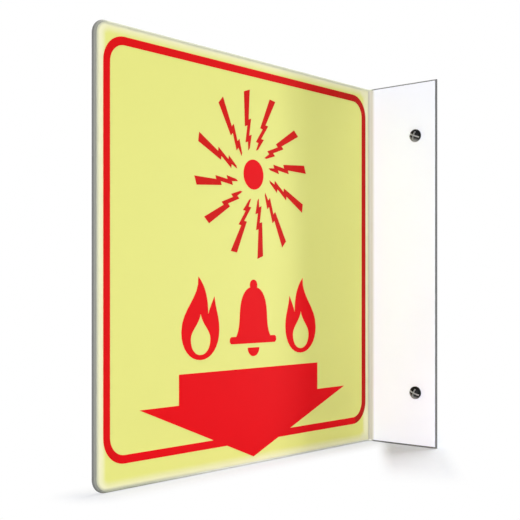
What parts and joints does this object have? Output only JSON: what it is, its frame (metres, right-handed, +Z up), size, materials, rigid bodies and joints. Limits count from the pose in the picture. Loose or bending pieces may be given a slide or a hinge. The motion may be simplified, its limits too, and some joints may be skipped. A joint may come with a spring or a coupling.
{
  "type": "projecting fire alarm sign",
  "caption": "Folded plastic wall sign with glow film, red burst, flame and bell pictograms and a down arrow, held by screws through its side flange.",
  "frame": {"origin": "on the wall plane (the back face of the flange), halfway between the two screws", "axes": "+Z up, +Y into the wall, the panel reaches out along -Y and its right face looks along +X"},
  "size_m": [0.0469, 0.2222, 0.2032],
  "materials": {
    "white_plastic": "smooth white sheet with rounded cut edges",
    "glow_film": "smooth yellow-green photoluminescent film",
    "red_ink": "flat opaque screen-printed ink",
    "screw_steel": "black coated steel with bare bright slots"
  },
  "bodies": {
    "root": {"sign_sheet": "white_plastic", "glow_film_right": "glow_film", "glow_film_left": "glow_film", "border_and_arrow_right": "red_ink", "border_and_arrow_left": "red_ink", "burst_right": "red_ink", "burst_left": "red_ink", "pictograms_right": "red_ink", "pictograms_left": "red_ink", "flange_screws": "screw_steel"}
  },
  "joints": []
}
